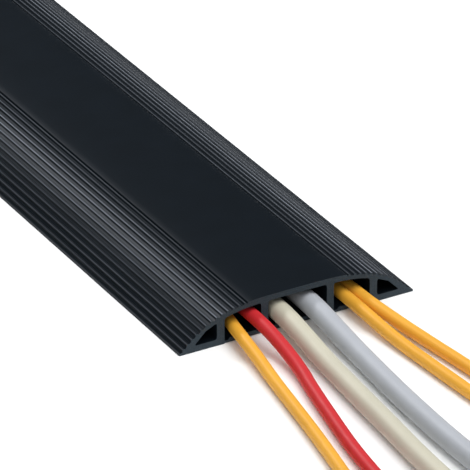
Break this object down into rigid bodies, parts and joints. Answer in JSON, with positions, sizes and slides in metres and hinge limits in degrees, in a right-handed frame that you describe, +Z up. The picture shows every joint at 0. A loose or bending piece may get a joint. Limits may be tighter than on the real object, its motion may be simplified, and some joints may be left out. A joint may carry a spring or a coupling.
{
  "type": "cable protector ramp",
  "caption": "Long low floor ramp of flexible extrusion with ribbed flanks, a smooth tread band and open-slit cable channels, covering leads that run out at both ends.",
  "frame": {"origin": "middle of the strip's underside, at floor level", "axes": "+Y along the strip, from the mouth the leads fan out of in front (-Y) to the rear one (+Y); +X across it; +Z up"},
  "size_m": [0.1572, 1.6137, 0.02],
  "materials": {
    "black_pvc": "matt black flexible PVC, extruded",
    "yellow": "satin yellow cable jacket",
    "red": "satin red cable jacket",
    "ivory": "satin ivory cable jacket",
    "grey": "satin light grey cable jacket",
    "clear_plug": "clear polycarbonate plug body",
    "nickel": "nickel-plated steel"
  },
  "bodies": {
    "ramp": {"ramp_strip": "black_pvc", "yellow_lead_left": "yellow", "yellow_lead_left_rear_boot": "yellow", "yellow_lead_left_rear_plug": "clear_plug", "yellow_lead_left_front_boot": "yellow", "yellow_lead_left_front_plug": "clear_plug", "red_lead": "red", "red_lead_rear_boot": "red", "red_lead_rear_plug": "clear_plug", "red_lead_front_boot": "red", "red_lead_front_plug": "clear_plug", "ivory_lead": "ivory", "ivory_lead_rear_connector": "ivory", "ivory_lead_front_connector": "ivory", "grey_lead": "grey", "grey_lead_rear_hood": "grey", "grey_lead_rear_shell": "nickel", "grey_lead_front_hood": "grey", "grey_lead_front_shell": "nickel", "yellow_lead_middle": "yellow", "yellow_lead_middle_rear_boot": "yellow", "yellow_lead_middle_rear_plug": "clear_plug", "yellow_lead_middle_front_boot": "yellow", "yellow_lead_middle_front_plug": "clear_plug", "yellow_lead_right": "yellow", "yellow_lead_right_rear_boot": "yellow", "yellow_lead_right_rear_plug": "clear_plug", "yellow_lead_right_front_boot": "yellow", "yellow_lead_right_front_plug": "clear_plug"},
    "left_channel_left_lip": {"left_channel_left_lip": "black_pvc"},
    "left_channel_right_lip": {"left_channel_right_lip": "black_pvc"},
    "middle_channel_left_lip": {"middle_channel_left_lip": "black_pvc"},
    "middle_channel_right_lip": {"middle_channel_right_lip": "black_pvc"},
    "right_channel_left_lip": {"right_channel_left_lip": "black_pvc"},
    "right_channel_right_lip": {"right_channel_right_lip": "black_pvc"},
    "grey_lead_rear_left_screw": {"grey_lead_rear_left_screw": "nickel"},
    "grey_lead_rear_right_screw": {"grey_lead_rear_right_screw": "nickel"},
    "grey_lead_front_left_screw": {"grey_lead_front_left_screw": "nickel"},
    "grey_lead_front_right_screw": {"grey_lead_front_right_screw": "nickel"}
  },
  "joints": [
    {"name": "left_left_lip_root", "type": "hinge", "parent": "ramp", "child": "left_channel_left_lip", "pos_m": [-0.04, 0, 0.0004], "axis": [0, 1, 0], "range_deg": [0, 40], "stiffness_Nm_per_rad": 0.3},
    {"name": "left_right_lip_root", "type": "hinge", "parent": "ramp", "child": "left_channel_right_lip", "pos_m": [-0.02045, 0, 0.0004], "axis": [0, -1, 0], "range_deg": [0, 40], "stiffness_Nm_per_rad": 0.3},
    {"name": "middle_left_lip_root", "type": "hinge", "parent": "ramp", "child": "middle_channel_left_lip", "pos_m": [-0.01595, 0, 0.0004], "axis": [0, 1, 0], "range_deg": [0, 40], "stiffness_Nm_per_rad": 0.3},
    {"name": "middle_right_lip_root", "type": "hinge", "parent": "ramp", "child": "middle_channel_right_lip", "pos_m": [0.01595, 0, 0.0004], "axis": [0, -1, 0], "range_deg": [0, 40], "stiffness_Nm_per_rad": 0.3},
    {"name": "right_left_lip_root", "type": "hinge", "parent": "ramp", "child": "right_channel_left_lip", "pos_m": [0.02045, 0, 0.0004], "axis": [0, 1, 0], "range_deg": [0, 40], "stiffness_Nm_per_rad": 0.3},
    {"name": "right_right_lip_root", "type": "hinge", "parent": "ramp", "child": "right_channel_right_lip", "pos_m": [0.04, 0, 0.0004], "axis": [0, -1, 0], "range_deg": [0, 40], "stiffness_Nm_per_rad": 0.3},
    {"name": "rear_left_screw_turn", "type": "hinge", "parent": "ramp", "child": "grey_lead_rear_left_screw", "pos_m": [0.00794, 0.6464, 0.0079], "axis": [0.0334, 0.9994, 0], "continuous": true},
    {"name": "rear_right_screw_turn", "type": "hinge", "parent": "ramp", "child": "grey_lead_rear_right_screw", "pos_m": [0.03293, 0.64557, 0.0079], "axis": [0.0334, 0.9994, 0], "continuous": true},
    {"name": "front_left_screw_turn", "type": "hinge", "parent": "ramp", "child": "grey_lead_front_left_screw", "pos_m": [0.03678, -0.90728, 0.0079], "axis": [0.0176, -0.9998, 0], "continuous": true},
    {"name": "front_right_screw_turn", "type": "hinge", "parent": "ramp", "child": "grey_lead_front_right_screw", "pos_m": [0.01178, -0.90772, 0.0079], "axis": [0.0176, -0.9998, 0], "continuous": true}
  ]
}
